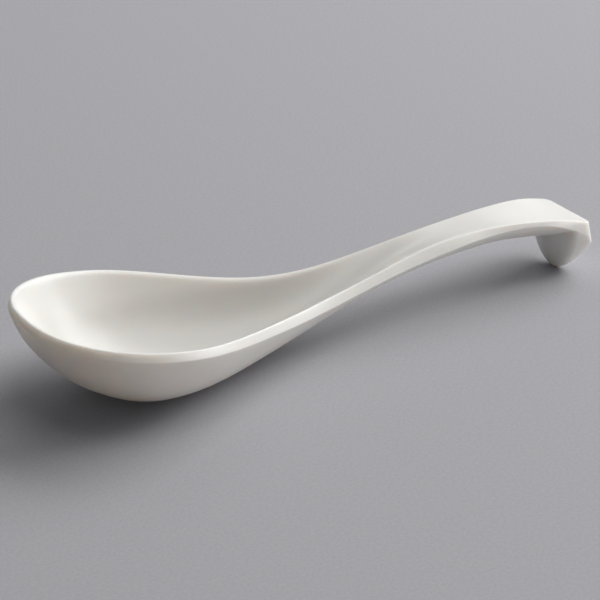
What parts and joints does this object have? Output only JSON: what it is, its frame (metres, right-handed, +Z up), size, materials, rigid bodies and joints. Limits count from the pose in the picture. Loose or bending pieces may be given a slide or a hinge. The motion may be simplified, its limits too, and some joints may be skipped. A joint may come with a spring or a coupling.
{
  "type": "soup spoon",
  "caption": "Chinese soup spoon with a deep egg-shaped bowl, a bevelled rim, and an arched handle ending in a hooked tooth that hangs on a bowl's edge.",
  "frame": {"origin": "on the table under the middle of the spoon's length and width, at the level of the bowl's flat foot", "axes": "+Z up, +X along the spoon from the tip of the bowl to the hook, +Y across it"},
  "size_m": [0.1396, 0.046, 0.0231],
  "materials": {
    "melamine": "smooth moulded melamine, warm white, semi-gloss"
  },
  "bodies": {
    "root": {"bowl": "melamine", "handle": "melamine", "hook": "melamine"}
  },
  "joints": []
}
